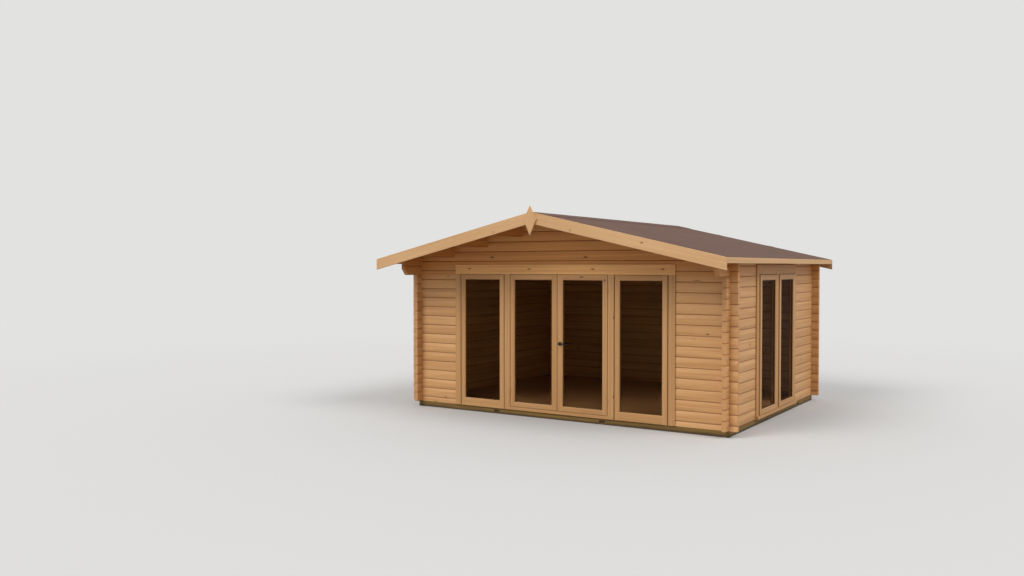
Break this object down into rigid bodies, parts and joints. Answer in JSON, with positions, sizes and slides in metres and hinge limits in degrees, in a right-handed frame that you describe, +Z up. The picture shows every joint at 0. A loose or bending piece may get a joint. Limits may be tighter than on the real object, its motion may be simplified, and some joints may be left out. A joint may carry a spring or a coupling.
{
  "type": "log cabin",
  "caption": "Log cabin with interlocked wall logs, a low gable roof with a porch overhang, hinged double glazed doors between side lights, and a tall side window.",
  "frame": {"origin": "on the ground, under the middle of the roof's plan, in line with the ridge", "axes": "+X across the front to the right as seen from the front, +Y from front to back, +Z up"},
  "size_m": [5.21, 4.883, 2.8174],
  "materials": {
    "spruce_logs": "planed spruce logs, clear stained",
    "spruce_boards": "planed spruce trim boards",
    "joinery_wood": "planed and eased joinery, clear stained",
    "roof_boards": "tongued and grooved spruce boards",
    "floor_boards": "tongued and grooved spruce boards",
    "treated_timber": "sawn, pressure treated, greenish brown",
    "roof_felt": "mineral surfaced roofing felt, purple brown",
    "glass": "clear float glass over a dark room",
    "black_metal": "black powder coat",
    "hinge_steel": "zinc plated steel"
  },
  "bodies": {
    "cabin": {"bearers_front_back": "treated_timber", "bearers_sides": "treated_timber", "floor_joists": "treated_timber", "floor_boards": "floor_boards", "front_wall_left": "spruce_logs", "front_wall_right": "spruce_logs", "front_gable": "spruce_logs", "back_wall": "spruce_logs", "left_wall": "spruce_logs", "left_corbel_logs": "spruce_logs", "right_wall_front": "spruce_logs", "right_wall_back": "spruce_logs", "right_corbel_logs": "spruce_logs", "ridge_purlin": "spruce_logs", "purlins_left": "spruce_logs", "purlins_right": "spruce_logs", "roof_boards_left": "roof_boards", "roof_boards_right": "roof_boards", "felt_left": "roof_felt", "felt_right": "roof_felt", "felt_ridge_cap": "roof_felt", "barge_boards_left": "spruce_boards", "barge_boards_right": "spruce_boards", "fascia_boards": "spruce_boards", "finials": "spruce_boards", "door_frame_jambs": "joinery_wood", "door_frame_posts": "joinery_wood", "door_frame_head": "joinery_wood", "door_threshold": "joinery_wood", "front_architraves": "joinery_wood", "front_header_board": "joinery_wood", "side_lights": "joinery_wood", "side_light_glass": "glass", "post_hinges": "hinge_steel", "side_window_frame": "joinery_wood", "side_window_architraves": "joinery_wood", "side_window_header": "joinery_wood", "side_window_sashes": "joinery_wood", "side_window_glass": "glass"},
    "left_door": {"door_leaf_left": "joinery_wood", "door_glass_left": "glass", "door_hinges_left": "hinge_steel"},
    "right_door": {"door_leaf_right": "joinery_wood", "door_glass_right": "glass", "door_hinges_right": "hinge_steel", "handle_roses": "black_metal"},
    "lever": {"door_handle": "black_metal"}
  },
  "joints": [
    {"name": "left_door_swing", "type": "hinge", "parent": "cabin", "child": "left_door", "pos_m": [-0.7575, -1.7405, 1.048], "axis": [0, 0, -1], "range_deg": [0, 160]},
    {"name": "right_door_swing", "type": "hinge", "parent": "cabin", "child": "right_door", "pos_m": [0.7575, -1.7405, 1.048], "axis": [0, 0, 1], "range_deg": [0, 160]},
    {"name": "lever_turn", "type": "hinge", "parent": "right_door", "child": "lever", "pos_m": [0.0465, -1.7165, 1.038], "axis": [0, 1, 0], "range_deg": [0, 40], "stiffness_Nm_per_rad": 1.5, "springref_deg": -17.19}
  ]
}
